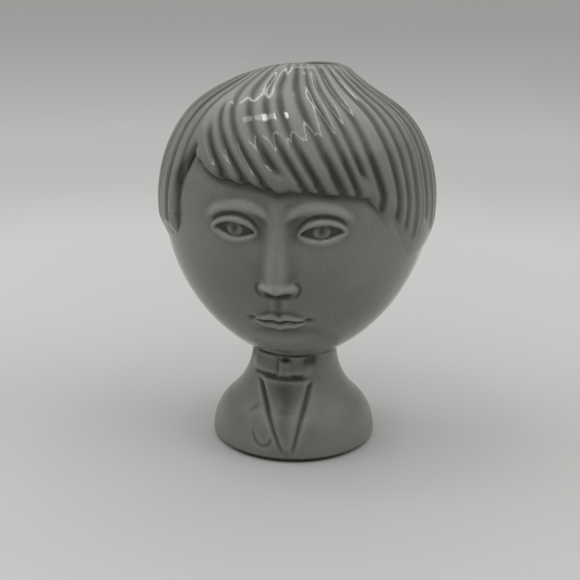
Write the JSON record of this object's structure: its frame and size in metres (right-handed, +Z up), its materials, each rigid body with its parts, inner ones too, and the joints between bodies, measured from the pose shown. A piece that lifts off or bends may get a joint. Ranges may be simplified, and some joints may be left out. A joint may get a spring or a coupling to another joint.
{
  "type": "face vase",
  "caption": "Glazed ceramic head vase: hollow ball head with combed hair and a small round mouth in the crown, on a short neck and flared foot dressed with collar, shirt front and lapels.",
  "frame": {"origin": "middle of the foot, on the surface that the vase stands on", "axes": "+Z up out of the mouth, -Y the way the face looks, +X the figure's own left"},
  "size_m": [0.108, 0.1085, 0.15],
  "materials": {
    "glaze": "glossy grey glaze, darker where it pools",
    "bare_clay": "unglazed fired clay"
  },
  "bodies": {
    "root": {"head_front": "glaze", "head_back": "glaze", "hair_cap": "glaze", "nose_and_brows": "glaze", "left_eye": "glaze", "right_eye": "glaze", "lips": "glaze", "pedestal": "glaze", "base_disc": "bare_clay", "collar": "glaze", "collar_knot": "glaze", "shirt_front": "glaze", "left_lapel": "glaze", "right_lapel": "glaze"}
  },
  "joints": []
}
